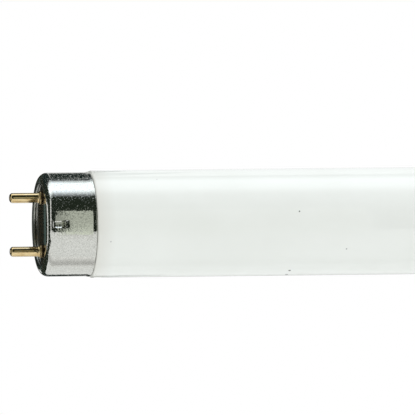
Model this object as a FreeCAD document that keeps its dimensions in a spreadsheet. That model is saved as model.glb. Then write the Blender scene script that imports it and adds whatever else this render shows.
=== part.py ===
import FreeCAD
import Part
import Sketcher
import math
import os
from FreeCAD import Placement, Rotation, Vector

# A straight fluorescent tube with a two-pin cap at each end, in millimetres.
# The origin is the middle of the tube, +X runs along it and +Z is up.
# The pins of both caps stand one above the other.
# The pieces of an end are drawn in the frame of their cap: its origin is the
# middle of the cap's face and its +X runs into the tube.

SIZES = [
    # Glass
    ("face_to_face", 589.8, "one cap face to the other"),
    ("glass_diameter", 25.4, "outside of the tube"),
    ("neck_step", 1.2, "how far the glass necks in under a cap, on the radius"),
    ("shoulder_gap", 0.06, "between a skirt's rear edge and the shoulder of the glass"),
    ("rim_setback", 2.4, "from the back of the disc to the rim of the glass"),
    ("rim_thickness", 1.2, "rounded rim where the tube and the stem are fused"),
    ("stem_diameter", 7.8, "inside of the stem"),
    ("stem_flare_length", 7.5, "from the rim to the end of the stem's flare"),
    ("stem_depth", 18.0, "from the rim to the press that seals the wires"),
    ("exhaust_diameter", 4.2, "sealed exhaust tube in the middle of the stem"),
    ("exhaust_setback", 1.2, "from the rim to the sealed tip"),
    # Cap shell
    ("cap_length", 11.9, "face to rear edge"),
    ("shell_wall", 0.35, "sheet of the shell"),
    ("face_corner_radius", 2.0, "outside, where the face turns into the skirt"),
    ("face_width", 2.6, "outside of the skirt to the mouth, on the radius"),
    ("lip_radius", 0.5, "outside, where the face turns into the mouth"),
    ("lip_depth", 0.72, "face to the end of the turned-in lip"),
    ("bell_length", 0.95, "belled rear edge, along the skirt"),
    ("bell_step", 0.15, "belled rear edge, on the radius"),
    # Stakes of the shell
    ("stake_width", 2.1, "across the skirt"),
    ("stake_flat_length", 1.65, "struck flat in front of the ledge"),
    ("stake_flat_depth", 0.18, "struck flat below the skirt"),
    ("stake_depth", 1.1, "floor of the stake below the skirt"),
    ("stake_floor_length", 0.4, "floor of the stake, along the skirt"),
    ("stake_ramp_length", 1.25, "ramp from the floor back up to the skirt"),
    # Insulating disc
    ("disc_thickness", 2.35, "front to back"),
    ("disc_clearance", 0.1, "rim of the disc to the shell"),
    ("disc_chamfer", 0.25, "rear edge of the rim"),
    # Contact pins
    ("pin_spacing", 12.7, "axis to axis"),
    ("pin_diameter", 2.37, "straight part"),
    ("pin_length", 7.1, "cap face to tip"),
    ("pin_tip_radius", 0.8, "rounding of the tip"),
    ("pin_bore", 1.4, "hollow of the pin"),
    ("pin_tip_wall", 1.2, "closed end in front of the hollow"),
    ("collar_diameter", 3.25, "crown of the collar in front of the disc"),
    ("collar_foot_diameter", 2.75, "foot of the collar, on the disc"),
    ("collar_thickness", 0.6, "crown to foot"),
    ("collar_flare_length", 0.65, "from the crown of the collar to the straight part"),
    ("head_diameter", 3.4, "riveted head behind the disc"),
    ("head_thickness", 0.45, "riveted head, front to back"),
    # Cement
    ("cement_thickness", 0.45, "neck of the glass to the shell"),
    ("cement_width", 4.5, "along the neck"),
    ("cement_setback", 1.8, "from the skirt's rear edge"),
    # Lead wires
    ("lead_diameter", 0.5, "wire"),
    ("lead_offset", 2.9, "axis of the tube to a wire in the press"),
    ("lead_seal", 3.0, "depth of a wire in the press"),
    ("lead_bend_setback", 0.3, "straight run behind the pin's head"),
    ("lead_bend_length", 4.5, "double bend from the pin to the press, along the tube"),
    ("fit_gap", 0.02, "round pieces that sit one in another"),
]

# Radii from the axis of the tube
GLASS_RADIUS = "(Sizes.glass_diameter / 2)"
NECK_RADIUS = f"({GLASS_RADIUS} - Sizes.neck_step)"
SKIRT_INSIDE = f"({NECK_RADIUS} + Sizes.cement_thickness)"
SKIRT_OUTSIDE = f"({SKIRT_INSIDE} + Sizes.shell_wall)"
FACE_OUTSIDE = f"({SKIRT_OUTSIDE} - Sizes.face_corner_radius)"
MOUTH_RADIUS = f"({SKIRT_OUTSIDE} - Sizes.face_width)"
FACE_INSIDE = f"({MOUTH_RADIUS} + Sizes.lip_radius)"
DISC_RADIUS = f"({SKIRT_INSIDE} - Sizes.disc_clearance)"

# Depths from the face of a cap
DISC_FRONT = "Sizes.lip_depth"
DISC_BACK = f"({DISC_FRONT} + Sizes.disc_thickness)"
HEAD_BACK = f"({DISC_BACK} + Sizes.head_thickness)"
LEDGE = f"({DISC_BACK} + Sizes.shell_wall + Sizes.fit_gap)"
RIM = f"({DISC_BACK} + Sizes.rim_setback)"
PRESS = f"({RIM} + Sizes.stem_depth)"
SHOULDER = "(Sizes.cap_length + Sizes.shoulder_gap + Sizes.neck_step / 2)"

# Radii from the axis of a pin
PIN_RADIUS = "(Sizes.pin_diameter / 2)"
LEAD_RADIUS = "(Sizes.lead_diameter / 2)"
PIN_LIFT = "(Sizes.pin_spacing / 2)"

LEFT = 1
RIGHT = -1
ENDS = {
    "left": ("-Sizes.face_to_face / 2", Rotation()),
    "right": ("Sizes.face_to_face / 2", Rotation(Vector(0, 0, 1), 180)),
}
SIDES = {
    "upper": (PIN_LIFT, Rotation()),
    "lower": (f"-{PIN_LIFT}", Rotation(Vector(1, 0, 0), 180)),
}


def make_sheet(doc):
    """Write every driving size into a sheet, with its name as the alias."""
    sheet = doc.addObject("Spreadsheet::Sheet", "Sizes")
    for row, (name, value, note) in enumerate(SIZES, start=1):
        sheet.set(f"A{row}", name)
        sheet.set(f"B{row}", str(value))
        sheet.set(f"C{row}", note)
        sheet.setAlias(f"B{row}", name)
    doc.recompute()


def line_to(across, up):
    """A straight run of an outline that ends at a point."""
    return (across, up, None, LEFT)


def arc_to(across, up, radius, turn):
    """A round run of an outline that ends at a point and turns LEFT or RIGHT."""
    return (across, up, radius, turn)


def arc_between(start, end, radius, turn):
    """The short arc from one point to another."""
    chord = end - start
    rise = math.sqrt(max(radius ** 2 - chord.Length ** 2 / 4, 0))
    sideways = Vector(-chord.y, chord.x, 0).normalize() * turn
    centre = (start + end) * 0.5 + sideways * rise
    first, last = (start, end) if turn == LEFT else (end, start)
    first_angle = math.atan2(first.y - centre.y, first.x - centre.x)
    last_angle = math.atan2(last.y - centre.y, last.x - centre.x)
    if last_angle < first_angle:
        last_angle += 2 * math.pi
    circle = Part.Circle(centre, Vector(0, 0, 1), radius)
    return Part.ArcOfCircle(circle, first_angle, last_angle)


def number(sketch, text):
    """The value of an expression in millimetres."""
    value = sketch.evalExpression(text)
    return float(getattr(value, "Value", value))


def hold_point(sketch, geometry, position, across, up):
    """Tie a point of a sketch to the sizes."""
    for kind, axis, text in (("DistanceX", -2, across), ("DistanceY", -1, up)):
        if text == "0":
            sketch.addConstraint(Sketcher.Constraint("PointOnObject", geometry, position, axis))
        else:
            value = number(sketch, text)
            rule = Sketcher.Constraint(kind, -1, 1, geometry, position, value)
            index = sketch.addConstraint(rule)
            sketch.setExpression(f"Constraints[{index}]", text)


def draw(sketch, steps, closed=True):
    """Draw an outline run by run and tie every point and radius to the sizes.

    A closed outline comes back to its last point, and an open one starts at its first.
    """
    points = [Vector(number(sketch, step[0]), number(sketch, step[1]), 0) for step in steps]
    runs = []
    for index in range(0 if closed else 1, len(steps)):
        start, end = points[index - 1], points[index]
        radius, turn = steps[index][2:]
        if radius is None:
            geometry = sketch.addGeometry(Part.LineSegment(start, end))
        else:
            arc = arc_between(start, end, number(sketch, radius), turn)
            geometry = sketch.addGeometry(arc)
            rule = Sketcher.Constraint("Radius", geometry, number(sketch, radius))
            sketch.setExpression(f"Constraints[{sketch.addConstraint(rule)}]", radius)
        first, last = (1, 2) if turn == LEFT else (2, 1)
        runs.append((geometry, first, last))
        hold_point(sketch, geometry, last, *steps[index][:2])
    for before, after in zip(runs, runs[1:]):
        sketch.addConstraint(
            Sketcher.Constraint("Coincident", before[0], before[2], after[0], after[1]))
    if closed:
        sketch.addConstraint(
            Sketcher.Constraint("Coincident", runs[-1][0], runs[-1][2], runs[0][0], runs[0][1]))
    else:
        hold_point(sketch, runs[0][0], runs[0][1], *steps[0][:2])


def draw_circle(sketch, across, up, radius):
    """Draw a circle and tie its middle and radius to the sizes."""
    middle = Vector(number(sketch, across), number(sketch, up), 0)
    circle = Part.Circle(middle, Vector(0, 0, 1), number(sketch, radius))
    geometry = sketch.addGeometry(circle)
    hold_point(sketch, geometry, 3, across, up)
    rule = Sketcher.Constraint("Radius", geometry, number(sketch, radius))
    sketch.setExpression(f"Constraints[{sketch.addConstraint(rule)}]", radius)


def make_body(doc, label):
    """A new body whose label names its piece."""
    body = doc.addObject("PartDesign::Body", label)
    body.Label = label
    return body


def origin_plane(body, role):
    """One of the three planes through the origin of a body."""
    return next(item for item in body.Origin.OriginFeatures if item.Role == role)


def make_sketch(body, name, role, offset=None):
    """A new sketch on a plane of the body, moved along that plane's normal."""
    sketch = body.newObject("Sketcher::SketchObject", name)
    sketch.AttachmentSupport = [(origin_plane(body, role), "")]
    sketch.MapMode = "FlatFace"
    if offset is not None:
        sketch.setExpression("AttachmentOffset.Base.z", offset)
    return sketch


def revolve(body, name, steps):
    """Turn a closed outline of depths and radii about the X axis of the body."""
    sketch = make_sketch(body, f"{name}_outline", "XY_Plane")
    draw(sketch, steps)
    feature = body.newObject("PartDesign::Revolution", name)
    feature.Profile = sketch
    feature.ReferenceAxis = (sketch, ["H_Axis"])
    feature.Angle = 360
    return feature


def extrude(body, kind, sketch, name, length, both_ways=False):
    """Pad or pocket a sketch by a length."""
    feature = body.newObject(f"PartDesign::{kind}", name)
    feature.Profile = sketch
    feature.SideType = "Symmetric" if both_ways else "One side"
    feature.setExpression("Length", length)
    return feature


def mirror(body, name, role, features):
    """Repeat features on the other side of a plane of the body."""
    feature = body.newObject("PartDesign::Mirrored", name)
    feature.Originals = features
    feature.MirrorPlane = (origin_plane(body, role), [""])
    body.Tip = feature
    return feature


def seat(body, end, side=None):
    """Put a piece of an end in its place on the tube."""
    along, turn = ENDS[end]
    if side is not None:
        turn = turn * SIDES[side][1]
    body.Placement = Placement(Vector(), turn)
    body.setExpression("Placement.Base.x", along)


def from_middle(depth):
    """Turn a depth from the face of a cap into a distance from the tube's middle."""
    return f"(Sizes.face_to_face / 2 - ({depth}))"


def tangent_radius(length, rise):
    """Radius of an arc that leaves a line and rises by a given amount over a length."""
    return f"((({length}) ^ 2 + ({rise}) ^ 2) / (2 * ({rise})))"


def make_glass(doc):
    """The sealed tube as one solid, with its necks, stems and exhaust tips."""
    body = make_body(doc, "glass_tube")
    half_step = "(Sizes.neck_step / 2)"
    half_rim = "(Sizes.rim_thickness / 2)"
    rim_inside = f"({NECK_RADIUS} - Sizes.rim_thickness)"
    stem_radius = "(Sizes.stem_diameter / 2)"
    exhaust_radius = "(Sizes.exhaust_diameter / 2)"
    flare = tangent_radius(f"Sizes.stem_flare_length - {half_rim}", f"{rim_inside} - {stem_radius}")
    exhaust_tip = f"({RIM} + Sizes.exhaust_setback)"
    half = revolve(body, "half_tube", [
        line_to("0", "0"),
        line_to("0", GLASS_RADIUS),
        line_to(from_middle(SHOULDER), GLASS_RADIUS),
        arc_to(from_middle(f"{SHOULDER} - {half_step}"), f"{GLASS_RADIUS} - {half_step}",
               half_step, RIGHT),
        arc_to(from_middle(f"{SHOULDER} - Sizes.neck_step"), NECK_RADIUS, half_step, LEFT),
        line_to(from_middle(f"{RIM} + {half_rim}"), NECK_RADIUS),
        arc_to(from_middle(RIM), f"{NECK_RADIUS} - {half_rim}", half_rim, RIGHT),
        arc_to(from_middle(f"{RIM} + {half_rim}"), rim_inside, half_rim, RIGHT),
        arc_to(from_middle(f"{RIM} + Sizes.stem_flare_length"), stem_radius, flare, RIGHT),
        line_to(from_middle(PRESS), stem_radius),
        line_to(from_middle(PRESS), exhaust_radius),
        line_to(from_middle(f"{exhaust_tip} + {exhaust_radius}"), exhaust_radius),
        arc_to(from_middle(exhaust_tip), "0", exhaust_radius, RIGHT),
    ])
    seals = make_sketch(body, "wire_seal_outline", "YZ_Plane", from_middle(PRESS))
    for lift in ("Sizes.lead_offset", "-Sizes.lead_offset"):
        draw_circle(seals, "0", lift, f"{LEAD_RADIUS} + Sizes.fit_gap")
    holes = extrude(body, "Pocket", seals, "wire_seals", "Sizes.lead_seal")
    mirror(body, "whole_tube", "YZ_Plane", [half, holes])
    return body


def make_cap_shell(doc, end):
    """A drawn shell: face, turned-in mouth, belled skirt and two stakes behind the disc."""
    body = make_body(doc, f"{end}_cap_shell")
    wall = "Sizes.shell_wall"
    corner = "Sizes.face_corner_radius"
    lip = "Sizes.lip_radius"
    bell_start = "(Sizes.cap_length - Sizes.bell_length)"
    revolve(body, "shell", [
        line_to("Sizes.lip_depth", MOUTH_RADIUS),
        line_to(lip, MOUTH_RADIUS),
        arc_to("0", FACE_INSIDE, lip, RIGHT),
        line_to("0", FACE_OUTSIDE),
        arc_to(corner, SKIRT_OUTSIDE, corner, RIGHT),
        line_to(bell_start, SKIRT_OUTSIDE),
        line_to("Sizes.cap_length", f"{SKIRT_OUTSIDE} + Sizes.bell_step"),
        line_to("Sizes.cap_length", f"{SKIRT_INSIDE} + Sizes.bell_step"),
        line_to(bell_start, SKIRT_INSIDE),
        line_to(corner, SKIRT_INSIDE),
        arc_to(wall, FACE_OUTSIDE, f"{corner} - {wall}", LEFT),
        line_to(wall, FACE_INSIDE),
        arc_to(lip, f"{MOUTH_RADIUS} + {wall}", f"{lip} - {wall}", LEFT),
        line_to("Sizes.lip_depth", f"{MOUTH_RADIUS} + {wall}"),
    ])

    # A stake is a flat with a ledge at its end, pressed in so that it stands behind the disc
    flat_start = f"({LEDGE} - Sizes.stake_flat_length)"
    floor_end = f"({LEDGE} + Sizes.stake_floor_length)"
    ramp_end = f"({floor_end} + Sizes.stake_ramp_length)"
    floor = f"({SKIRT_OUTSIDE} - Sizes.stake_depth)"
    mid_wall = f"({SKIRT_OUTSIDE} - {wall} / 2)"
    above = f"({SKIRT_OUTSIDE} + Sizes.stake_depth)"
    back = make_sketch(body, "stake_back_outline", "XY_Plane")
    draw(back, [
        line_to(f"{LEDGE} - {wall}", mid_wall),
        line_to(f"{ramp_end} + {wall}", mid_wall),
        line_to(f"{floor_end} + {wall}", f"{floor} - {wall}"),
        line_to(f"{LEDGE} - {wall}", f"{floor} - {wall}"),
    ])
    bulge = extrude(body, "Pad", back, "stake_back", f"Sizes.stake_width + 2 * {wall}", True)
    front = make_sketch(body, "stake_front_outline", "XY_Plane")
    draw(front, [
        line_to(flat_start, above),
        line_to(ramp_end, above),
        line_to(ramp_end, SKIRT_OUTSIDE),
        line_to(floor_end, floor),
        line_to(LEDGE, floor),
        line_to(LEDGE, f"{SKIRT_OUTSIDE} - Sizes.stake_flat_depth"),
        line_to(flat_start, f"{SKIRT_OUTSIDE} - Sizes.stake_flat_depth"),
    ])
    pit = extrude(body, "Pocket", front, "stake_front", "Sizes.stake_width", True)
    mirror(body, "stakes", "XZ_Plane", [bulge, pit])
    seat(body, end)
    return body


def make_disc(doc, end):
    """The insulating disc behind the mouth, with a hole for each pin."""
    body = make_body(doc, f"{end}_insulating_disc")
    chamfer = "Sizes.disc_chamfer"
    corner = "Sizes.face_corner_radius"
    round_edge = f"({corner} - Sizes.shell_wall - Sizes.disc_clearance)"
    flat_radius = f"({FACE_OUTSIDE} + sqrt({round_edge} ^ 2 - ({corner} - {DISC_FRONT}) ^ 2))"
    revolve(body, "disc", [
        line_to(DISC_FRONT, "0"),
        line_to(DISC_FRONT, flat_radius),
        arc_to(corner, DISC_RADIUS, round_edge, RIGHT),
        line_to(f"{DISC_BACK} - {chamfer}", DISC_RADIUS),
        line_to(DISC_BACK, f"{DISC_RADIUS} - {chamfer}"),
        line_to(DISC_BACK, "0"),
    ])
    circles = make_sketch(body, "pin_hole_outline", "YZ_Plane", DISC_BACK)
    for lift in (PIN_LIFT, f"-{PIN_LIFT}"):
        draw_circle(circles, "0", lift, f"{PIN_RADIUS} + Sizes.fit_gap")
    extrude(body, "Pocket", circles, "pin_holes", "Sizes.disc_thickness")
    seat(body, end)
    return body


def make_pin(doc, end, side):
    """A hollow pin with a beaded collar, riveted behind the disc."""
    body = make_body(doc, f"{end}_{side}_pin")
    tip = "(-Sizes.pin_length)"
    round_tip = "Sizes.pin_tip_radius"
    collar_radius = "(Sizes.collar_diameter / 2)"
    foot_radius = "(Sizes.collar_foot_diameter / 2)"
    head_radius = "(Sizes.head_diameter / 2)"
    bore_radius = "(Sizes.pin_bore / 2)"
    eye_radius = f"({LEAD_RADIUS} + Sizes.fit_gap)"
    bore_end = f"({tip} + Sizes.pin_tip_wall)"
    crown = f"({DISC_FRONT} - Sizes.collar_thickness)"
    flare_length = "Sizes.collar_flare_length"
    flare = tangent_radius(flare_length, f"{collar_radius} - {PIN_RADIUS}")
    bead = tangent_radius("Sizes.collar_thickness", f"{collar_radius} - {foot_radius}")
    revolve(body, "pin", [
        line_to(tip, eye_radius),
        line_to(tip, f"{PIN_RADIUS} - {round_tip}"),
        arc_to(f"{tip} + {round_tip}", PIN_RADIUS, round_tip, RIGHT),
        line_to(f"{crown} - {flare_length}", PIN_RADIUS),
        arc_to(crown, collar_radius, flare, LEFT),
        arc_to(DISC_FRONT, foot_radius, bead, RIGHT),
        line_to(DISC_FRONT, PIN_RADIUS),
        line_to(DISC_BACK, PIN_RADIUS),
        line_to(DISC_BACK, head_radius),
        line_to(HEAD_BACK, head_radius),
        line_to(HEAD_BACK, bore_radius),
        line_to(bore_end, bore_radius),
        line_to(bore_end, eye_radius),
    ])
    seat(body, end)
    body.setExpression("Placement.Base.z", SIDES[side][0])
    return body


def make_cement(doc, end):
    """The ring of cement that holds the cap on the neck of the glass."""
    body = make_body(doc, f"{end}_cement_ring")
    rear = "(Sizes.cap_length - Sizes.cement_setback)"
    front = f"({rear} - Sizes.cement_width)"
    inside = f"({NECK_RADIUS} + Sizes.fit_gap)"
    outside = f"({SKIRT_INSIDE} - Sizes.fit_gap)"
    revolve(body, "ring", [
        line_to(front, inside),
        line_to(front, outside),
        line_to(rear, outside),
        line_to(rear, inside),
    ])
    seat(body, end)
    return body


def make_lead(doc, end, side):
    """The wire from the press of the stem through the hollow pin to its tip."""
    body = make_body(doc, f"{end}_{side}_lead_wire")
    sealed_end = f"({PRESS} + Sizes.lead_seal)"
    pin_bend = f"({HEAD_BACK} + Sizes.lead_bend_setback)"
    press_bend = f"({pin_bend} + Sizes.lead_bend_length)"
    half_length = "(Sizes.lead_bend_length / 2)"
    half_rise = f"(({PIN_LIFT} - Sizes.lead_offset) / 2)"
    bend = tangent_radius(half_length, half_rise)
    route = make_sketch(body, "route", "XZ_Plane")
    draw(route, [
        line_to(sealed_end, "Sizes.lead_offset"),
        line_to(press_bend, "Sizes.lead_offset"),
        arc_to(f"{press_bend} - {half_length}", f"Sizes.lead_offset + {half_rise}", bend, RIGHT),
        arc_to(pin_bend, PIN_LIFT, bend, LEFT),
        line_to("-Sizes.pin_length", PIN_LIFT),
    ], closed=False)
    section = make_sketch(body, "section", "YZ_Plane", sealed_end)
    draw_circle(section, "0", "Sizes.lead_offset", LEAD_RADIUS)
    wire = body.newObject("PartDesign::AdditivePipe", "wire")
    wire.Profile = section
    wire.Spine = (route, [""])
    seat(body, end, side)
    return body


def check(doc):
    """Stop if a feature failed or a sketch is not fully tied to the sizes."""
    for item in doc.Objects:
        if "Invalid" in item.State or "Error" in item.State:
            raise RuntimeError(f"{item.Label} failed: {item.State}")
        if item.TypeId == "Sketcher::SketchObject" and not item.FullyConstrained:
            raise RuntimeError(f"{item.Label} is loose")


def main():
    """Build every piece and write one file for each."""
    doc = FreeCAD.newDocument("fluorescent_tube")
    make_sheet(doc)
    bodies = [make_glass(doc)]
    for end in ENDS:
        bodies.append(make_cap_shell(doc, end))
        bodies.append(make_disc(doc, end))
        bodies.append(make_cement(doc, end))
        for side in SIDES:
            bodies.append(make_pin(doc, end, side))
            bodies.append(make_lead(doc, end, side))
    doc.recompute()
    check(doc)
    os.makedirs("parts", exist_ok=True)
    for body in bodies:
        if body.Shape.isNull() or not body.Shape.isValid():
            raise RuntimeError(f"{body.Label} has no valid shape")
        body.Shape.exportStep(f"parts/{body.Label}.step")


main()
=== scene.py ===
"""Looks of a straight fluorescent tube with a drawn two-pin cap at each end, and its studio."""

import logging
import math
from dataclasses import dataclass
from enum import Enum

import bmesh
import bpy
from mathutils import Matrix, Quaternion, Vector

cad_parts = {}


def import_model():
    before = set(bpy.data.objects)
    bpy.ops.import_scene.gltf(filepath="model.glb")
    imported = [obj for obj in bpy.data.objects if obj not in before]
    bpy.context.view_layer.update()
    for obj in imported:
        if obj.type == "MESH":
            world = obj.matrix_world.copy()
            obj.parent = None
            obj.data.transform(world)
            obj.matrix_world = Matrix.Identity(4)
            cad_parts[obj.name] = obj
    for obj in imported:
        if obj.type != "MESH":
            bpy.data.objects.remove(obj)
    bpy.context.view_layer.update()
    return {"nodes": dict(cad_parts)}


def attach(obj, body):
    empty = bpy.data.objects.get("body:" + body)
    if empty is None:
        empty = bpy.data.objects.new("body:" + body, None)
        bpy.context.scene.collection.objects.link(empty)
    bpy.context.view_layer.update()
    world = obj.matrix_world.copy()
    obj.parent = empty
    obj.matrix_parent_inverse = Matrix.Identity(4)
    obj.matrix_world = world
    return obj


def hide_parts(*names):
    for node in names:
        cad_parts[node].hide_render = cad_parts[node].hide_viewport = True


LOG = logging.getLogger("fluorescent_tube")
# The pieces are drawn in millimetres; materials and the studio are in metres.
MILLIMETRE = 0.001
HALF_LENGTH = 294.9
WELD = 1e-4
SHARP = math.radians(28)
BODY = "root"

Colour = tuple[float, float, float]
Point = tuple[float, float, float]
Range = tuple[float, float]
Shades = tuple[tuple[float, float], ...]


class End(Enum):
    """The two ends of the tube, each with the turn from a cap's own frame to its place."""

    LEFT = "left"
    RIGHT = "right"

    def place(self, half_length: float) -> Matrix:
        """The move from a cap's own frame to its place on the tube.

        Args:
            half_length: Distance from the tube's middle to a cap's face, in millimetres.

        Returns:
            The move, in millimetres.
        """
        turn = Matrix.Rotation(0.0 if self is End.LEFT else math.pi, 4, "Z")
        return turn @ Matrix.Translation((-half_length, 0.0, 0.0))


class Side(Enum):
    """The upper and the lower pin of a cap."""

    UPPER = "upper"
    LOWER = "lower"

    @property
    def sign(self) -> int:
        """One for the upper pin, minus one for the lower."""
        return 1 if self is Side.UPPER else -1


class Ray(Enum):
    """The kinds of ray that a stage piece is shown to."""

    CAMERA = "visible_camera"
    DIFFUSE = "visible_diffuse"
    GLOSSY = "visible_glossy"
    TRANSMISSION = "visible_transmission"
    SCATTER = "visible_volume_scatter"
    SHADOW = "visible_shadow"


class Outline:
    """The outline of a turned piece, drawn run by run in depth and radius, in millimetres."""

    def __init__(self, depth: float, radius: float) -> None:
        """Start at a point.

        Args:
            depth: Distance along the axis.
            radius: Distance from the axis.
        """
        self.mesh = bmesh.new()
        self.tip = self.mesh.verts.new((depth, 0.0, radius))

    def line(self, depth: float, radius: float, hold: float = 0.0) -> None:
        """Draw a straight run.

        Args:
            depth: Where the run ends along the axis.
            radius: Where the run ends from the axis.
            hold: Distance from both ends of a loop that keeps the run's shading straight.
        """
        start = self.tip.co.copy()
        end = Vector((depth, 0.0, radius))
        points = [end]
        if hold:
            along = (end - start).normalized() * hold
            points = [start + along, end - along, end]
        for point in points:
            self.tip = bmesh.ops.extrude_vert_indiv(self.mesh, verts=[self.tip])["verts"][0]
            bmesh.ops.translate(self.mesh, verts=[self.tip], vec=point - self.tip.co)

    def arc(self, depth: float, radius: float, degrees: float, steps: int) -> None:
        """Draw a round run about a centre; a positive turn goes from outwards to inwards.

        Args:
            depth: The centre along the axis.
            radius: The centre from the axis.
            degrees: The turn.
            steps: Straight pieces that the run is made of.
        """
        made = bmesh.ops.spin(
            self.mesh, geom=[self.tip], cent=(depth, 0.0, radius), axis=(0.0, 1.0, 0.0),
            dvec=(0.0, 0.0, 0.0), angle=math.radians(degrees), steps=steps)
        self.tip = next(i for i in made["geom_last"] if isinstance(i, bmesh.types.BMVert))

    def bend(self, heading: float, radius: float, degrees: float, steps: int) -> None:
        """Draw a round run that leaves the last point at a heading.

        Args:
            heading: Degrees from the axis, outwards.
            radius: Radius of the run.
            degrees: The turn; a positive one goes inwards.
            steps: Straight pieces that the run is made of.
        """
        lean = math.radians(heading)
        side = math.copysign(radius, degrees)
        middle = self.tip.co + side * Vector((math.sin(lean), 0.0, -math.cos(lean)))
        self.arc(middle.x, middle.z, degrees, steps)

    def turn(self, steps: int) -> bmesh.types.BMesh:
        """Turn the outline about the axis.

        Args:
            steps: Faces round the axis.

        Returns:
            The turned mesh, merged and with its faces outwards.
        """
        bmesh.ops.spin(
            self.mesh, geom=self.mesh.verts[:] + self.mesh.edges[:], cent=(0.0, 0.0, 0.0),
            axis=(1.0, 0.0, 0.0), dvec=(0.0, 0.0, 0.0), angle=math.tau, steps=steps,
            use_merge=True)
        bmesh.ops.remove_doubles(self.mesh, verts=self.mesh.verts, dist=WELD)
        bmesh.ops.recalc_face_normals(self.mesh, faces=self.mesh.faces)
        return self.mesh


@dataclass(frozen=True)
class Grain:
    """A noise: its waves in a metre, its finer layers and its scale along each axis."""

    scale: float
    detail: float
    stretch: Point = (1.0, 1.0, 1.0)


class Graph:
    """The node tree of one material, around its principled shader."""

    def __init__(self, name: str, **sockets: object) -> None:
        """Make the material.

        Args:
            name: The material's name.
            sockets: Values of the shader's sockets, with underscores for spaces.
        """
        self.material = bpy.data.materials.new(name)
        self.material.use_nodes = True
        self.tree = self.material.node_tree
        self.tree.nodes.clear()
        self.shader = self.node("ShaderNodeBsdfPrincipled", **sockets)
        output = self.node("ShaderNodeOutputMaterial")
        self.link(self.shader, "BSDF", output, "Surface")
        self.place = self.node("ShaderNodeTexCoord")

    def node(self, kind: str, **sockets: object) -> bpy.types.Node:
        """Add a node and set its sockets.

        Args:
            kind: The node's type.
            sockets: Values by socket name, with underscores for spaces.

        Returns:
            The node.
        """
        made = self.tree.nodes.new(kind)
        for name, value in sockets.items():
            made.inputs[name.replace("_", " ")].default_value = value
        return made

    def link(self, source: bpy.types.Node, out: str, target: bpy.types.Node, into: str) -> None:
        """Join an output to an input.

        Args:
            source: The node that gives the value.
            out: Its output.
            target: The node that takes the value.
            into: Its input.
        """
        self.tree.links.new(source.outputs[out], target.inputs[into])

    def noise(self, grain: Grain) -> bpy.types.Node:
        """Noise on Object coordinates.

        Args:
            grain: The noise's settings.

        Returns:
            The noise node.
        """
        mapping = self.node("ShaderNodeMapping", Scale=grain.stretch)
        self.link(self.place, "Object", mapping, "Vector")
        noise = self.node("ShaderNodeTexNoise", Scale=grain.scale, Detail=grain.detail)
        self.link(mapping, "Vector", noise, "Vector")
        return noise

    def ramp(self, source: bpy.types.Node, out: str,
             stops: list[tuple[float, Colour]]) -> bpy.types.Node:
        """Colours along a value.

        Args:
            source: The node that gives the value.
            out: Its output.
            stops: Positions and colours.

        Returns:
            The ramp node.
        """
        ramp = self.node("ShaderNodeValToRGB")
        points = ramp.color_ramp.elements
        while len(points) < len(stops):
            points.new(0.5)
        for point, (position, colour) in zip(points, stops):
            point.position = position
            point.color = (*colour, 1.0)
        self.link(source, out, ramp, "Fac")
        return ramp

    def blend(self, noise: bpy.types.Node, part: Range, low: Colour,
              high: Colour) -> bpy.types.Node:
        """Two colours over a part of a noise's range.

        Args:
            noise: The noise node.
            part: Where the first colour ends and the second starts.
            low: The colour of low values.
            high: The colour of high values.

        Returns:
            The ramp node.
        """
        return self.ramp(noise, "Fac", list(zip(part, (low, high))))

    def span(self, source: bpy.types.Node, out: str, low: float, high: float,
             into: str, first: float = 0.0, last: float = 1.0) -> bpy.types.Node:
        """Fit a value to a range and lead it to a socket of the shader, if one is named.

        Args:
            source: The node that gives the value.
            out: Its output.
            low: Where the range starts.
            high: Where the range ends.
            into: The shader's socket, or an empty name.
            first: Result at the start.
            last: Result at the end.

        Returns:
            The range node.
        """
        fitted = self.node("ShaderNodeMapRange", From_Min=low, From_Max=high, To_Min=first,
                           To_Max=last)
        self.link(source, out, fitted, "Value")
        if into:
            self.link(fitted, "Result", self.shader, into)
        return fitted

    def axes(self) -> bpy.types.Node:
        """Split the Object coordinates.

        Returns:
            The node with an output for each axis.
        """
        parts = self.node("ShaderNodeSeparateXYZ")
        self.link(self.place, "Object", parts, "Vector")
        return parts

    def along(self) -> bpy.types.Node:
        """Measure along the tube's axis from its middle, on Object coordinates.

        Returns:
            The node that gives the distance.
        """
        measured = self.node("ShaderNodeMath")
        measured.operation = "ABSOLUTE"
        self.link(self.axes(), "X", measured, "Value")
        return measured

    def radial(self, operation: str) -> bpy.types.Node:
        """Measure from the tube's axis on Object coordinates.

        Args:
            operation: LENGTH for the distance, DOT_PRODUCT for its square.

        Returns:
            The node that gives the value.
        """
        flat = self.node("ShaderNodeVectorMath")
        flat.operation = "MULTIPLY"
        flat.inputs[1].default_value = (0.0, 1.0, 1.0)
        self.link(self.place, "Object", flat, "Vector")
        measured = self.node("ShaderNodeVectorMath")
        measured.operation = operation
        for socket in measured.inputs[:2]:
            self.tree.links.new(flat.outputs["Vector"], socket)
        return measured

    def mix(self, factor: bpy.types.Node, out: str, under: bpy.types.Node | Colour,
            over: bpy.types.Node | Colour) -> bpy.types.Node:
        """Lay one colour over another.

        Args:
            factor: The node that gives the share of the upper colour.
            out: Its output.
            under: A colour node or a colour.
            over: A colour node or a colour.

        Returns:
            The mix node.
        """
        mixer = self.tree.nodes.new("ShaderNodeMix")
        mixer.data_type = "RGBA"
        colours = [socket for socket in mixer.inputs if socket.type == "RGBA"]
        for socket, colour in zip(colours, (under, over)):
            if isinstance(colour, bpy.types.Node):
                self.tree.links.new(self.colour_of(colour), socket)
            else:
                socket.default_value = (*colour, 1.0)
        self.tree.links.new(factor.outputs[out], mixer.inputs[0])
        return mixer

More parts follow.
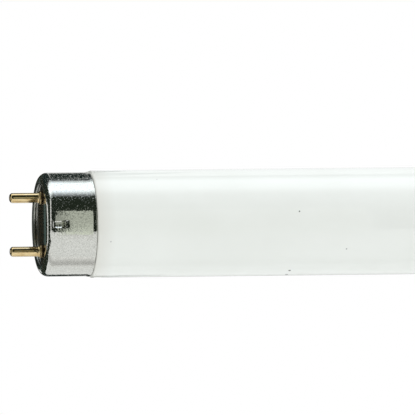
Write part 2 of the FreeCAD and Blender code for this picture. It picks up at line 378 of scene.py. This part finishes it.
    @staticmethod
    def colour_of(source: bpy.types.Node) -> bpy.types.NodeSocket:
        """Find the output that gives a node's colour.

        Args:
            source: A node that gives a colour.

        Returns:
            The output.
        """
        return next(socket for socket in source.outputs if socket.type == "RGBA")

    def colour(self, source: bpy.types.Node) -> None:
        """Lead a colour node to the shader's base colour.

        Args:
            source: The node that gives the colour.
        """
        self.tree.links.new(self.colour_of(source), self.shader.inputs["Base Color"])

    def roughness(self, first: bpy.types.Node, second: bpy.types.Node) -> None:
        """Lead the larger of two ranges to the shader's roughness.

        Args:
            first: One range node.
            second: The other range node.
        """
        rough = self.node("ShaderNodeMath")
        rough.operation = "MAXIMUM"
        for source, socket in zip((first, second), rough.inputs):
            self.tree.links.new(source.outputs["Result"], socket)
        self.link(rough, "Value", self.shader, "Roughness")

    def bump(self, source: bpy.types.Node, out: str, depth: float, strength: float) -> None:
        """Raise the surface by a value.

        Args:
            source: The node that gives the height.
            out: Its output.
            depth: Height of a full step, in metres.
            strength: Share of the effect.
        """
        bump = self.node("ShaderNodeBump", Strength=strength, Distance=depth)
        self.link(source, out, bump, "Height")
        self.link(bump, "Normal", self.shader, "Normal")


@dataclass(frozen=True)
class Speck:
    """A speck of dirt on the glass: its middle and radius in metres, and its grey."""

    middle: Point
    radius: float
    grey: float


@dataclass(frozen=True)
class CoatedGlass:
    """Clear glass over a white powder coat, a little darker and warmer close to the caps."""

    slot: str = "coated_glass"
    white: Colour = (0.878, 0.908, 0.868)
    pale: Colour = (0.850, 0.880, 0.836)
    warm: Colour = (0.76, 0.765, 0.71)
    warm_start: float = 0.2830
    warm_end: float = 0.2785
    cloud: Grain = Grain(55.0, 3.0)
    cloud_part: Range = (0.35, 0.65)
    powder_roughness: float = 0.75
    glass_roughness: float = 0.06
    glass_ior: float = 1.5
    specks: tuple[Speck, ...] = (
        Speck((-0.23452, -0.01245, 0.00251), 2.3e-4, 0.1),
        Speck((-0.2230, -0.0109, -0.0065), 2.3e-4, 0.4),
        Speck((-0.23575, -0.00538, -0.0115), 3.8e-4, 0.01),
        Speck((-0.23597, -0.00254, -0.01244), 5.0e-4, 0.05),
        Speck((-0.2798, -0.01199, -0.0042), 2.3e-4, 0.55),
        Speck((-0.26779, -0.00728, 0.01041), 2.6e-4, 0.70),
    )

    def material(self) -> bpy.types.Material:
        """Mix the powder's white and set the specks of dirt on it.

        Returns:
            The finished material.
        """
        graph = Graph(self.slot, Roughness=self.powder_roughness, Specular_IOR_Level=0.0,
                      Coat_Weight=1.0, Coat_Roughness=self.glass_roughness,
                      Coat_IOR=self.glass_ior)
        powder = graph.blend(graph.noise(self.cloud), self.cloud_part, self.pale, self.white)
        near_cap = graph.span(graph.along(), "Value", self.warm_end, self.warm_start, "")
        shade = graph.mix(near_cap, "Result", powder, self.warm)
        for speck in self.specks:
            away = graph.node("ShaderNodeVectorMath")
            away.operation = "DISTANCE"
            away.inputs[1].default_value = speck.middle
            graph.link(graph.place, "Object", away, "Vector")
            spot = graph.span(away, "Value", speck.radius, speck.radius / 2, "")
            shade = graph.mix(spot, "Result", shade, (speck.grey, speck.grey, speck.grey))
        graph.colour(shade)
        return graph.material


@dataclass(frozen=True)
class DrawnAluminium:
    """Bright drawn sheet with fine dull specks; painted shade and reflection darken the lip beside its
    matt bent edge.
    """

    slot: str = "shell_aluminium"
    bright: Colour = (0.69, 0.695, 0.65)
    dull: Colour = (0.55, 0.555, 0.515)
    painted_lip_shade: Colour = (0.14, 0.15, 0.13)
    face: float = 0.2949
    lip_depth: float = 0.00072
    lip_start: float = 0.01018
    lip_end: float = 0.01006
    lip_roughness: float = 0.35
    painted_shade_edges: tuple[Range, Range] = ((0.48, 0.56), (0.80, 0.88))
    fine: Grain = Grain(4000.0, 0.0)
    fine_part: Range = (0.34, 0.66)
    grain: Grain = Grain(3000.0, 1.5)
    grain_depth: float = 1.5e-5
    grain_strength: float = 0.5
    speck_part: Range = (0.52, 0.68)
    speck_roughness: Range = (0.05, 0.38)

    def material(self) -> bpy.types.Material:
        """Mix the sheet's specks with the lip's painted shade and its unshaded band.

        Returns:
            The finished material.
        """
        graph = Graph(self.slot, Metallic=1.0)
        grain = graph.noise(self.grain)
        metal = graph.blend(graph.noise(self.fine), self.fine_part, self.dull, self.bright)
        # Painted shade: the turned-in lip is darkened as shade beside the board and as a dark
        # reflection of the board and pins, except for one band across its depth.
        lip = graph.span(graph.radial("LENGTH"), "Value", self.lip_start, self.lip_end, "")
        inwards = graph.span(graph.along(), "Value", self.face, self.face - self.lip_depth, "")
        (shaded_until, unshaded_from), (unshaded_until, shaded_from) = self.painted_shade_edges
        bands = graph.ramp(inwards, "Result", [
            (shaded_until, self.painted_lip_shade), (unshaded_from, self.bright),
            (unshaded_until, self.bright), (shaded_from, self.painted_lip_shade)])
        graph.colour(graph.mix(lip, "Result", metal, bands))
        specks = graph.span(grain, "Fac", *self.speck_part, "", *self.speck_roughness)
        matt = graph.span(lip, "Result", 0.0, 1.0, "", 0.0, self.lip_roughness)
        graph.roughness(specks, matt)
        graph.bump(grain, "Fac", self.grain_depth, self.grain_strength)
        return graph.material


@dataclass(frozen=True)
class Phenolic:
    """Dark brown board with fibres, glossy and bumped as if bulged by the arc of a large sphere."""

    slot: str = "phenolic"
    dark: Colour = (0.006, 0.0045, 0.003)
    light: Colour = (0.02, 0.014, 0.008)
    fibre: Grain = Grain(900.0, 5.0, (1.0, 2.0, 0.5))
    fibre_part: Range = (0.35, 0.65)
    gloss_part: Range = (0.3, 0.7)
    gloss_roughness: Range = (0.03, 0.08)
    lacquer_ior: float = 1.6
    bulge_radius: float = 0.3

    def material(self) -> bpy.types.Material:
        """Lay the fibres and bump the board as if it bulged.

        Returns:
            The finished material.
        """
        graph = Graph(self.slot, IOR=self.lacquer_ior)
        fibre = graph.noise(self.fibre)
        graph.colour(graph.blend(fibre, self.fibre_part, self.dark, self.light))
        graph.span(fibre, "Fac", *self.gloss_part, "Roughness", *self.gloss_roughness)
        squared = graph.radial("DOT_PRODUCT")
        bulge = graph.span(squared, "Value", 0.0, 2 * self.bulge_radius, "", 0.0, -1.0)
        graph.bump(bulge, "Result", 1.0, 1.0)
        return graph.material


@dataclass(frozen=True)
class Brass:
    """Polished brass with faint turning lines and a little tarnish, under a thin clear film."""

    slot: str = "pin_brass"
    bright: Colour = (0.75, 0.59, 0.30)
    tarnished: Colour = (0.62, 0.44, 0.18)
    collar_start: float = 0.29560
    collar_end: float = 0.29535
    collar_roughness: float = 0.30
    tarnish: Grain = Grain(420.0, 4.0, (1.0, 2.5, 2.5))
    tarnish_part: Range = (0.4, 0.62)
    polish_part: Range = (0.3, 0.7)
    polish_roughness: Range = (0.17, 0.09)
    lines: Grain = Grain(9000.0, 2.0, (1.0, 0.05, 0.05))
    line_depth: float = 4e-6
    line_strength: float = 0.3
    film_weight: float = 0.6
    film_roughness: float = 0.05
    film_ior: float = 1.9

    def material(self) -> bpy.types.Material:
        """Mix the tarnish, dull the collars and cut the turning lines.

        Returns:
            The finished material.
        """
        graph = Graph(self.slot, Metallic=1.0, Coat_Weight=self.film_weight,
                      Coat_Roughness=self.film_roughness, Coat_IOR=self.film_ior)
        tarnish = graph.noise(self.tarnish)
        graph.colour(graph.blend(tarnish, self.tarnish_part, self.tarnished, self.bright))
        polish = graph.span(tarnish, "Fac", *self.polish_part, "", *self.polish_roughness)
        collar = graph.span(graph.along(), "Value", self.collar_start, self.collar_end, "", 0.0,
                            self.collar_roughness)
        graph.roughness(polish, collar)
        graph.bump(graph.noise(self.lines), "Fac", self.line_depth, self.line_strength)
        return graph.material


@dataclass(frozen=True)
class Cement:
    """Chalky basing cement."""

    slot: str = "basing_cement"
    light: Colour = (0.62, 0.55, 0.42)
    dark: Colour = (0.40, 0.33, 0.23)
    chalk_roughness: float = 0.9
    grit: Grain = Grain(1800.0, 6.0)
    grit_part: Range = (0.3, 0.7)
    grit_depth: float = 1e-4
    grit_strength: float = 0.5

    def material(self) -> bpy.types.Material:
        """Mix the grit.

        Returns:
            The finished material.
        """
        graph = Graph(self.slot, Roughness=self.chalk_roughness)
        grit = graph.noise(self.grit)
        graph.colour(graph.blend(grit, self.grit_part, self.dark, self.light))
        graph.bump(grit, "Fac", self.grit_depth, self.grit_strength)
        return graph.material


@dataclass(frozen=True)
class TinnedWire:
    """Tinned lead wire with a slightly dull skin."""

    slot: str = "lead_metal"
    bright: Colour = (0.70, 0.68, 0.64)
    dull: Colour = (0.46, 0.44, 0.41)
    skin: Grain = Grain(1500.0, 4.0)
    skin_part: Range = (0.35, 0.65)
    polish_part: Range = (0.3, 0.7)
    polish_roughness: Range = (0.4, 0.22)
    skin_depth: float = 1e-5
    skin_strength: float = 0.3

    def material(self) -> bpy.types.Material:
        """Mix the skin's bright and dull places.

        Returns:
            The finished material.
        """
        graph = Graph(self.slot, Metallic=1.0)
        skin = graph.noise(self.skin)
        graph.colour(graph.blend(skin, self.skin_part, self.dull, self.bright))
        graph.span(skin, "Fac", *self.polish_part, "Roughness", *self.polish_roughness)
        graph.bump(skin, "Fac", self.skin_depth, self.skin_strength)
        return graph.material


def set_piece(mesh: bmesh.types.BMesh, name: str, place: Matrix, node: str,
              material: bpy.types.Material) -> bpy.types.Object:
    """Turn a finished mesh in millimetres into a piece that stands for a CAD node.

    Args:
        mesh: The mesh, which is used up.
        name: The piece's name.
        place: The move to the tube's frame, in millimetres.
        node: The CAD node that it stands for.
        material: Its finish.

    Returns:
        The new object.
    """
    bmesh.ops.transform(mesh, matrix=Matrix.Scale(MILLIMETRE, 4) @ place, verts=mesh.verts)
    for face in mesh.faces:
        face.smooth = True
    for edge in mesh.edges:
        edge.smooth = len(edge.link_faces) == 2 and edge.calc_face_angle(0.0) < SHARP
    data = bpy.data.meshes.new(name)
    mesh.to_mesh(data)
    mesh.free()
    data.materials.append(material)
    piece = bpy.data.objects.new(name, data)
    bpy.context.scene.collection.objects.link(piece)
    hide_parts(node)
    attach(piece, BODY)
    LOG.info("%s: %d faces for %s", name, len(data.polygons), node)
    return piece


def dress_node(node: bpy.types.Object, material: bpy.types.Material) -> None:
    """Give a CAD node that keeps its own shape its finish.

    Args:
        node: The node's object.
        material: Its finish.
    """
    node.data.materials.clear()
    node.data.materials.append(material)
    LOG.info("%s: dressed in %s", node.name, material.name)


@dataclass
class GlassTube:
    """The sealed glass: a long tube, its two necks, rims, stems and exhaust tips."""

    half_length: float = HALF_LENGTH
    radius: float = 12.7
    neck_radius: float = 11.5
    shoulder_depth: float = 12.56
    shoulder_round: float = 0.6
    rim_depth: float = 5.47
    rim_round: float = 0.6
    stem_radius: float = 3.9
    flare_depth: float = 12.97
    flare_round: float = 6.9195
    flare_turn: float = 85.69
    press_depth: float = 23.47
    exhaust_radius: float = 2.1
    exhaust_depth: float = 6.67
    hold: float = 0.3
    steps_round: int = 160

    def build(self, finish: CoatedGlass) -> bpy.types.Object:
        """Draw one half, mirror it and turn it.

        Args:
            finish: The glass's finish.

        Returns:
            The glass.
        """
        half = self.half_length
        rim = self.rim_depth + self.rim_round - half
        shoulder = self.shoulder_depth - half
        pen = Outline(self.exhaust_depth - half, 0.0)
        pen.arc(self.exhaust_depth + self.exhaust_radius - half, 0.0, 90, steps=8)
        pen.line(self.press_depth - half, self.exhaust_radius)
        pen.line(self.press_depth - half, self.stem_radius)
        pen.line(self.flare_depth - half, self.stem_radius)
        pen.arc(self.flare_depth - half, self.stem_radius + self.flare_round, self.flare_turn,
                steps=12)
        pen.line(rim, self.neck_radius - 2 * self.rim_round)
        pen.arc(rim, self.neck_radius - self.rim_round, 180, steps=12)
        pen.line(shoulder - 2 * self.shoulder_round, self.neck_radius, self.hold)
        pen.arc(shoulder - 2 * self.shoulder_round, self.neck_radius + self.shoulder_round, -90,
                steps=8)
        pen.arc(shoulder, self.radius - self.shoulder_round, 90, steps=8)
        pen.line(0.0, self.radius, self.hold)
        bmesh.ops.mirror(
            pen.mesh, geom=pen.mesh.verts[:] + pen.mesh.edges[:], matrix=Matrix.Identity(4),
            merge_dist=WELD, axis="X")
        mesh = pen.turn(self.steps_round)
        return set_piece(mesh, "glass", Matrix.Identity(4), "glass_tube", finish.material())


@dataclass
class CapShell:
    """A drawn shell: turned-in mouth, rounded face, skirt with two stakes, belled rear edge."""

    half_length: float = HALF_LENGTH
    wall: float = 0.35
    skirt: float = 12.3
    corner: float = 2.0
    mouth: float = 9.7
    lip: float = 0.5
    lip_depth: float = 0.72
    length: float = 11.9
    bell_start: float = 10.95
    bell_step: float = 0.15
    stake_width: float = 1.95
    stake_start: float = 1.79
    stake_ledge: float = 3.44
    stake_floor: float = 3.68
    stake_knee: float = 4.45
    stake_end: float = 5.09
    stake_dish: float = 0.3
    stake_depth: float = 1.1
    stake_knee_depth: float = 0.2
    stake_edge: float = 0.12
    stake_rim: float = 0.18
    stake_slope: float = 0.33
    hold: float = 0.06
    steps_round: int = 192

    def build(self, end: End, finish: DrawnAluminium,
              material: bpy.types.Material) -> bpy.types.Object:
        """Draw the sheet, turn it and press the stakes.

        Args:
            end: The end of the tube that it closes.
            finish: The shell's finish.
            material: That finish's material.

        Returns:
            The shell.
        """
        mesh = self.draw().turn(self.steps_round)
        self.press(mesh)
        return set_piece(mesh, f"{end.value}_shell", end.place(self.half_length),
                         f"{end.value}_cap_shell", material)

    def draw(self) -> Outline:
        """Draw the closed outline of the sheet.

        Returns:
            The outline.
        """
        wall, skirt, corner, lip = self.wall, self.skirt, self.corner, self.lip
        face = skirt - corner
        edge = self.length - wall / 2
        bell = skirt + self.bell_step
        pen = Outline(self.lip_depth, self.mouth)
        pen.line(lip, self.mouth)
        pen.arc(lip, self.mouth + lip, 90, steps=10)
        pen.line(0.0, face, self.hold)
        pen.arc(corner, face, 90, steps=20)
        pen.line(self.bell_start, skirt, self.hold)
        pen.line(edge, bell, self.hold)
        pen.arc(edge, bell - wall / 2, 180, steps=12)
        pen.line(self.bell_start, skirt - wall)
        pen.line(corner, skirt - wall, self.hold)
        pen.arc(corner, face, -90, steps=12)
        pen.line(wall, self.mouth + lip)
        pen.arc(lip, self.mouth + lip, -90, steps=6)
        pen.line(self.lip_depth, self.mouth + wall)
        pen.line(self.lip_depth, self.mouth)
        return pen

    def along(self, depth: float) -> tuple[float, float]:
        """The profile of a stake along its middle.

        Args:
            depth: Distance from the face.

        Returns:
            The depths of the dished tab and of the pit behind it.
        """
        edge = self.stake_edge
        steps = [
            (self.stake_start - edge, 0.0, 0.0),
            (self.stake_start + edge, self.stake_dish, 0.0),
            (self.stake_ledge - edge, self.stake_dish, 0.0),
            (self.stake_ledge + edge, 0.0, self.stake_depth),
            (self.stake_floor, 0.0, self.stake_depth),
            (self.stake_knee, 0.0, self.stake_knee_depth),
            (self.stake_end, 0.0, 0.0),
        ]
        for (before, *low), (after, *high) in zip(steps, steps[1:]):
            if before <= depth <= after:
                share = (depth - before) / (after - before)
                dish, pit = (a + (b - a) * share for a, b in zip(low, high))
                return dish, pit
        return 0.0, 0.0

    def press(self, mesh: bmesh.types.BMesh) -> None:
        """Cut loops round the two stakes and press the sheet in between them.

        The outermost loops keep the skirt round beside the stakes.

        Args:
            mesh: The turned shell.
        """
        edge = self.stake_edge
        half = self.stake_width / 2
        depths = [
            self.stake_start - 3 * edge, self.stake_start - edge, self.stake_start,
            self.stake_start + edge, self.stake_ledge - edge, self.stake_ledge,
            self.stake_ledge + edge, self.stake_floor, self.stake_knee, self.stake_end,
            self.stake_end + 2 * edge,
        ]
        brink = half - self.stake_rim
        lifts = [0.0, half / 4, brink - self.stake_slope, brink - self.stake_slope / 2,
                 brink, half - edge / 2, half, half + 2 * edge]
        for depth in depths:
            self.cut(mesh, Vector((depth, 0.0, 0.0)), Vector((1.0, 0.0, 0.0)))
        for side in Side:
            for lift in lifts:
                self.cut(mesh, Vector((0.0, 0.0, side.sign * lift)), Vector((0.0, 0.0, 1.0)))
        for vert in mesh.verts:
            depth, across, lift = vert.co
            dish, pit = self.along(depth)
            if abs(lift) < half and (dish or pit):
                outside = abs(math.hypot(across, lift) - self.skirt) < self.wall / 2
                top = self.skirt if outside else self.skirt - self.wall
                share = min((half - abs(lift)) / (2 * edge), 1.0)
                inset = max(brink - abs(lift), 0.0)
                dished = abs(across) - dish * min(inset / self.stake_slope, 1.0)
                pitted = abs(across) * (1 - share) + (top - pit) * share
                vert.co.y = math.copysign(min(dished, pitted), across)
        bmesh.ops.recalc_face_normals(mesh, faces=mesh.faces)

    def cut(self, mesh: bmesh.types.BMesh, point: Vector, normal: Vector) -> None:
        """Cut the straight skirt along a plane.

        Args:
            mesh: The shell.
            point: A point of the plane.
            normal: The plane's normal.
        """
        faces = [face for face in mesh.faces
                 if all(self.corner / 2 < v.co.x < self.bell_start for v in face.verts)]
        edges = {edge for face in faces for edge in face.edges}
        verts = {vert for face in faces for vert in face.verts}
        bmesh.ops.bisect_plane(
            mesh, geom=[*verts, *edges, *faces], dist=WELD, plane_co=point, plane_no=normal)


@dataclass
class ContactPin:
    """A hollow pin with a rounded tip, a beaded collar and a riveted head."""

    half_length: float = HALF_LENGTH
    lift: float = 6.35
    radius: float = 1.185
    tip_depth: float = -7.1
    tip_round: float = 0.8
    eye: float = 0.27
    bore: float = 0.7
    bore_depth: float = -5.9
    flare_depth: float = -0.53
    flare_round: float = 0.70
    flare_turn: float = 62.0
    crown_round: float = 0.13
    bead_round: float = 0.66
    bead_turn: float = 51.6
    disc_front: float = 0.72
    disc_back: float = 3.07
    head: float = 1.7
    head_depth: float = 3.52
    hold: float = 0.05
    steps_round: int = 64

    def build(self, end: End, side: Side, finish: Brass,
              material: bpy.types.Material) -> bpy.types.Object:
        """Draw the pin, turn it and set it above or below the axis.

        Args:
            end: The end of the tube.
            side: The pin's place in its cap.
            finish: The pin's finish.
            material: That finish's material.

        Returns:
            The pin.
        """
        mesh = self.draw().turn(self.steps_round)
        lifted = Matrix.Translation((0.0, 0.0, side.sign * self.lift))
        name = f"{end.value}_{side.value}"
        return set_piece(mesh, f"{name}_contact", end.place(self.half_length) @ lifted,
                         f"{name}_pin", material)

    def draw(self) -> Outline:
        """Draw the closed outline of the pin.

        Returns:
            The outline.
        """
        tip, radius = self.tip_depth, self.radius
        pen = Outline(tip, self.eye)
        pen.line(tip, radius - self.tip_round)
        pen.arc(tip + self.tip_round, radius - self.tip_round, 90, steps=12)
        pen.line(self.flare_depth, radius, self.hold)
        pen.bend(0.0, self.flare_round, -self.flare_turn, steps=10)
        pen.bend(self.flare_turn, self.crown_round, self.flare_turn, steps=8)
        pen.bend(0.0, self.bead_round, self.bead_turn, steps=8)
        pen.line(self.disc_front, radius)
        pen.line(self.disc_back, radius)
        pen.line(self.disc_back, self.head)
        pen.line(self.head_depth, self.head)
        pen.line(self.head_depth, self.bore)
        pen.line(self.bore_depth, self.bore)
        pen.line(self.bore_depth, self.eye)
        pen.line(tip, self.eye)
        return pen


@dataclass
class Fittings:
    """The pieces of an end that keep their own shapes: disc, cement ring and wires."""

    nodes: dict[str, bpy.types.Object]

    def dress(self, end: End, board: bpy.types.Material, cement: bpy.types.Material,
              wire: bpy.types.Material) -> None:
        """Give each fitting of an end its finish.

        Args:
            end: The end of the tube.
            board: Finish of the insulating disc.
            cement: Finish of the cement ring.
            wire: Finish of the lead wires.
        """
        dress_node(self.nodes[f"{end.value}_insulating_disc"], board)
        dress_node(self.nodes[f"{end.value}_cement_ring"], cement)
        for side in Side:
            dress_node(self.nodes[f"{end.value}_{side.value}_lead_wire"], wire)


@dataclass(frozen=True)
class Card:
    """A flat card of the studio that only reflections see.

    Its shades run along one axis, from the corner to the opposite corner.
    """

    name: str
    corner: Point
    opposite: Point
    axis: str
    shades: Shades
    tint: Colour


@dataclass
class Studio:
    """Camera, softbox, floor, surroundings and the cards that polished metal reflects."""

    azimuth: float = -10.2
    roll: float = -0.60
    distance: float = 4.0
    width: float = 0.0984
    target: Point = (-0.25438, 0.0, 0.00364)
    sensor: float = 36.0
    sight: float = 100.0
    floor_drop: float = 0.10
    floor_radius: float = 4.2
    floor_steps: int = 96
    floor_colour: Colour = (0.92, 0.92, 0.91)
    floor_dulling: float = 0.985
    floor_grain: Grain = Grain(40.0, 2.0)
    floor_part: Range = (0.3, 0.7)
    floor_roughness: float = 0.9
    floor_gloss: float = 0.1
    mat_lift: float = 0.0005
    softbox_height: float = 0.6
    softbox_middle: float = 0.028
    softbox_length: float = 1.8
    softbox_width: float = 0.267
    softbox_energy: float = 2.0
    softbox_colour: Colour = (0.95, 1.0, 1.1)
    surround: float = 0.88

    def build(self) -> None:
        """Set up everything that isn't part of the tube."""
        self.set_camera()
        self.set_world()
        self.set_softbox()
        self.set_floor()
        for card in self.cards():
            self.set_card(card)
        bpy.context.scene.view_settings.view_transform = "Standard"

    def set_camera(self) -> None:
        """A long lens at the height of the tube, turned a little towards the left cap."""
        turn = math.radians(self.azimuth)
        back = Vector((math.sin(turn), -math.cos(turn), 0.0))
        data = bpy.data.cameras.new("camera")
        data.sensor_width = self.sensor
        data.lens = self.sensor * self.distance / self.width
        data.clip_end = self.sight
        camera = bpy.data.objects.new("camera", data)
        camera.location = Vector(self.target) + back * self.distance
        aim = (-back).to_track_quat("-Z", "Y")
        camera.rotation_mode = "QUATERNION"
        camera.rotation_quaternion = aim @ Quaternion((0.0, 0.0, 1.0), math.radians(self.roll))
        bpy.context.scene.collection.objects.link(camera)
        bpy.context.scene.camera = camera

    def set_world(self) -> None:
        """White surroundings for the eye and for reflections, a plain level for the rest."""
        world = bpy.data.worlds.new("surroundings")
        world.use_nodes = True
        nodes, links = world.node_tree.nodes, world.node_tree.links
        background = nodes["Background"]
        background.inputs["Color"].default_value = (1.0, 1.0, 1.0, 1.0)
        path = nodes.new("ShaderNodeLightPath")
        total = path.outputs["Is Camera Ray"]
        for kind in ("Is Glossy Ray", "Is Transmission Ray"):
            added = nodes.new("ShaderNodeMath")
            added.operation = "MAXIMUM"
            links.new(total, added.inputs[0])
            links.new(path.outputs[kind], added.inputs[1])
            total = added.outputs["Value"]
        level = nodes.new("ShaderNodeMapRange")
        level.inputs["To Min"].default_value = self.surround
        links.new(total, level.inputs["Value"])
        links.new(level.outputs["Result"], background.inputs["Strength"])
        bpy.context.scene.world = world

    def set_softbox(self) -> None:
        """A strip softbox above the tube, along it."""
        data = bpy.data.lights.new("softbox", "AREA")
        data.shape = "RECTANGLE"
        data.size = self.softbox_length
        data.size_y = self.softbox_width
        data.energy = self.softbox_energy
        data.color = self.softbox_colour
        lamp = bpy.data.objects.new("softbox", data)
        lamp.location = (0.0, self.softbox_middle, self.softbox_height)
        lamp.visible_camera = False
        lamp.visible_glossy = False
        bpy.context.scene.collection.objects.link(lamp)

    def set_floor(self) -> None:
        """A plain pale floor below the tube."""
        graph = Graph("floor", Roughness=self.floor_roughness, Specular_IOR_Level=self.floor_gloss)
        grain = graph.noise(self.floor_grain)
        dull = tuple(self.floor_dulling * part for part in self.floor_colour)
        graph.colour(graph.blend(grain, self.floor_part, dull, self.floor_colour))
        mesh = bmesh.new()
        bmesh.ops.create_circle(mesh, cap_ends=True, segments=self.floor_steps,
                                radius=self.floor_radius)
        bmesh.ops.translate(mesh, verts=mesh.verts, vec=(0.0, 0.0, -self.floor_drop))
        self.stage(mesh, "floor", graph.material, set(Ray))

    def cards(self) -> list[Card]:
        """The softbox's face and the grey and dark cards round the tube.

        Returns:
            The cards.
        """
        foot = -self.floor_drop
        mat = foot + self.mat_lift
        top = self.softbox_height
        front, rear = -0.42, 0.45
        cool, green, teal = (0.93, 1.0, 1.05), (0.74, 1.0, 0.70), (0.62, 1.0, 0.92)
        buff, olive, white = (0.95, 1.0, 0.88), (0.92, 1.0, 0.72), (1.0, 1.0, 1.0)
        sky = (0.87, 0.98, 1.22)
        glow = ((0.0, 0.02), (0.069, 0.07), (0.154, 0.15), (0.209, 0.38), (0.264, 0.82),
                (0.32, 1.42), (0.384, 1.85), (0.568, 1.85), (0.641, 1.7), (0.724, 0.86),
                (0.816, 0.10), (1.0, 0.01))
        greys = ((0.0, 0.94), (0.25, 0.76), (0.5, 0.64), (0.8, 0.62), (1.0, 0.68))
        dark = ((0.0, 0.024), (1.0, 0.034))
        near = ((0.0, 0.75), (0.6, 1.0), (1.0, 1.05))
        dip = ((0.0, 1.05), (0.35, 0.76), (0.62, 0.60), (0.8, 0.68), (1.0, 1.05))
        pale = ((0.0, 0.78), (1.0, 0.82))
        wall_shade = ((0.0, 0.44), (0.13, 0.44), (0.16, 0.78), (1.0, 0.82))
        dusk = ((0.0, 0.24), (1.0, 0.26))
        grey = ((0.0, 0.40), (1.0, 0.44))
        slate = ((0.0, 0.72), (1.0, 0.76))
        full = ((0.0, 1.0), (1.0, 1.05))
        cards = [
            # Above the tube
            Card("softbox_face", (-0.78, front, top), (0.9, rear, top), "Y", glow, cool),
            Card("pin_light", (-0.215, front, 0.599), (-0.192, rear, 0.599), "Y", glow, sky),
            # In front of the cap
            Card("front_grey", (-0.2753, -0.10, -0.04), (-0.20, -0.10, 0.0535), "Z", greys, buff),
            Card("front_edge", (-0.2900, -0.10, 0.0), (-0.2753, -0.10, 0.036), "Z", grey, buff),
            Card("front_dark", (-0.67, -0.26, -0.078), (1.5, -0.26, 0.53), "Z", dark, green),
            Card("stake_glint", (-0.47, -0.2595, -0.035), (-0.41, -0.2595, 0.03), "Z", slate, white),
            Card("front_floor", (-0.2545, -0.25, mat), (-0.17, -0.10, mat), "Y", near, white),
            # Behind the cap
            Card("back_foot", (-0.62, 0.3, foot), (-0.230, 0.3, -0.01), "Z", dark, olive),
            Card("back_dark", (-0.62, 0.3, -0.01), (-0.262, 0.3, 0.12), "Z", dark, olive),
            Card("back_upper", (-0.62, 0.3, 0.12), (-0.262, 0.3, 0.50), "Z", dark, teal),
            Card("back_grey", (-0.262, 0.305, -0.01), (-0.2258, 0.305, 0.50), "Z", slate, white),
            Card("band_lower", (-0.2405, 0.3, 0.13), (-0.217, 0.3, 0.25), "Z", dark, teal),
            Card("band_upper", (-0.2405, 0.3, 0.25), (-0.190, 0.3, 0.50), "Z", dark, teal),
            Card("corner_glint", (-0.342, 0.2985, -0.078), (-0.318, 0.2985, -0.028), "Z", full, white),
            Card("back_slot", (-0.3567, 0.299, foot), (-0.3515, 0.299, 0.16), "Z", dusk, teal),
            # On the floor behind the cap
            Card("back_floor", (-0.335, 0.14, mat), (-0.234, 0.3, mat), "Y", dark, teal),
            Card("corner_floor", (-0.50, 0.03, mat), (-0.375, 0.3, mat), "Y", dark, green),
            Card("corner_step", (-0.375, 0.078, mat), (-0.35, 0.3, mat), "Y", dark, green),
            Card("corner_back", (-0.35, 0.125, mat), (-0.335, 0.3, mat), "Y", dark, green),
            Card("corner_left", (-0.62, 0.12, mat), (-0.50, 0.3, mat), "Y", dark, green),
            # Behind and below the glass
            Card("back_pale", (-0.2258, 0.31, foot), (1.5, 0.31, 0.5), "Z", wall_shade, white),
            Card("pale_floor", (-0.2258, 0.17, mat), (1.5, 0.31, mat), "Y", pale, white),
            Card("table_shade", (-0.4, -0.028, mat), (0.5, 0.022, mat), "Y", dip, white),
        ]
        # Beyond each end, for the faces of the caps
        for name, side in (("left", -1), ("right", 1)):
            wall, inner, outer = side * 0.795, side * 0.435, side * 1.6
            cards += [
                Card(f"{name}_dark", (wall, side * 0.175, foot), (wall, side * -0.185, 0.15), "Z",
                     dark, green),
                Card(f"{name}_upper", (wall, side * 0.175, 0.15), (wall, side * -0.5, 0.6), "Z",
                     dark, green),
                Card(f"{name}_floor", (outer, side * 0.09, mat), (inner, side * -0.13, mat), "Y",
                     dark, green),
            ]
        return cards

    def set_card(self, card: Card) -> None:
        """Build a card with its shades.

        Args:
            card: The card's corners and shades.
        """
        axis = "XYZ".index(card.axis)
        first, last = Vector(card.corner), Vector(card.opposite)
        rise = Vector((0.0, 0.0, 0.0))
        rise[axis] = last[axis] - first[axis]
        mesh = bmesh.new()
        edge = mesh.edges.new((mesh.verts.new(first), mesh.verts.new(last - rise)))
        made = bmesh.ops.extrude_edge_only(mesh, edges=[edge])["geom"]
        moved = [item for item in made if isinstance(item, bmesh.types.BMVert)]
        bmesh.ops.translate(mesh, verts=moved, vec=rise)
        peak = max(shade for _, shade in card.shades)
        graph = Graph(card.name, Base_Color=(0.0, 0.0, 0.0, 1.0), Roughness=1.0,
                      Specular_IOR_Level=0.0, Emission_Strength=peak)
        share = graph.span(graph.axes(), card.axis, first[axis], last[axis], "")
        stops = [(place, tuple(shade / peak * part for part in card.tint))
                 for place, shade in card.shades]
        ramp = graph.ramp(share, "Result", stops)
        graph.link(ramp, "Color", graph.shader, "Emission Color")
        self.stage(mesh, card.name, graph.material, {Ray.GLOSSY})

    def stage(self, mesh: bmesh.types.BMesh, name: str, material: bpy.types.Material,
              shown_to: set[Ray]) -> None:
        """Turn a mesh into a stage piece.

        Args:
            mesh: The mesh in metres, which is used up.
            name: The piece's name.
            material: Its finish.
            shown_to: The kinds of ray that see it.
        """
        data = bpy.data.meshes.new(name)
        mesh.to_mesh(data)
        mesh.free()
        data.materials.append(material)
        piece = bpy.data.objects.new(name, data)
        for ray in Ray:
            setattr(piece, ray.value, ray in shown_to)
        bpy.context.scene.collection.objects.link(piece)


def main() -> None:
    """Load the frame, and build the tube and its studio."""
    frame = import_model()
    GlassTube().build(CoatedGlass())
    aluminium, brass = DrawnAluminium(), Brass()
    sheet, pin_skin = aluminium.material(), brass.material()
    board, ring, wire = Phenolic().material(), Cement().material(), TinnedWire().material()
    fittings = Fittings(frame["nodes"])
    for end in End:
        CapShell().build(end, aluminium, sheet)
        for side in Side:
            ContactPin().build(end, side, brass, pin_skin)
        fittings.dress(end, board, ring, wire)
    Studio().build()


if __name__ == "__main__":
    logging.basicConfig(level=logging.INFO)
    main()
